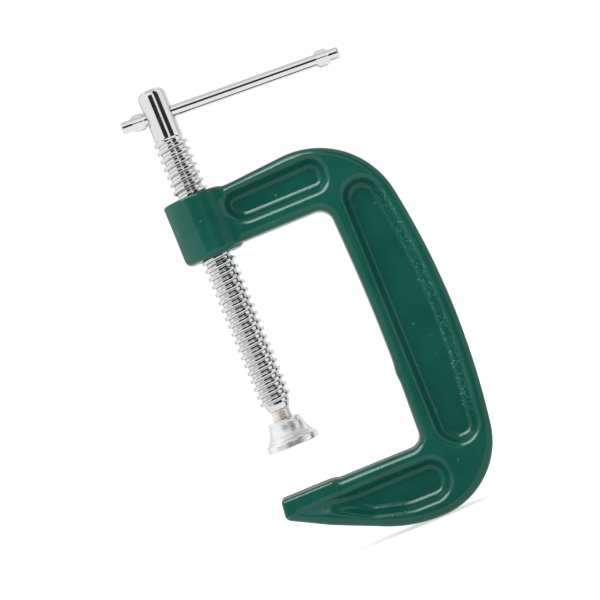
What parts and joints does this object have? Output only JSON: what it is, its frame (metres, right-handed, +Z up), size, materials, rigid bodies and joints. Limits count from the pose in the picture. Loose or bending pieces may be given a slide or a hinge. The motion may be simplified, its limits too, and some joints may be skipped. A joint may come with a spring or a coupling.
{
  "type": "c clamp",
  "caption": "Carpenter's C clamp: cast I-section frame, rolled trapezoidal screw with sliding handle bar, and a swivel pad that closes on the anvil.",
  "frame": {"origin": "middle of the anvil's clamping face, on the screw axis", "axes": "+Z up the screw to its head, +X across the throat to the spine, Y across the frame's thickness"},
  "size_m": [0.113, 0.0288, 0.2381],
  "materials": {
    "enamel": "gloss",
    "chrome": "polished"
  },
  "bodies": {
    "frame": {"frame": "enamel"},
    "swivel_pad": {"swivel_pad": "chrome"},
    "clamp_screw": {"clamp_screw": "chrome"},
    "tommy_bar": {"tommy_bar": "chrome"}
  },
  "joints": [
    {"name": "screw_travel", "type": "slide", "parent": "frame", "child": "swivel_pad", "axis": [0, 0, 1], "range_m": [-0.0212, 0.0803]},
    {"name": "screw_turn", "type": "hinge", "parent": "swivel_pad", "child": "clamp_screw", "pos_m": [0, 0, 0.1], "axis": [0, 0, 1], "range_deg": [-1907, 7226]},
    {"name": "bar_slide", "type": "slide", "parent": "clamp_screw", "child": "tommy_bar", "axis": [0.9988, 0, -0.0488], "range_m": [-0.0711, 0]}
  ],
  "couplings": [
    {"joint": "screw_travel", "follows": "screw_turn", "m_per_rad": 0.00063662}
  ]
}
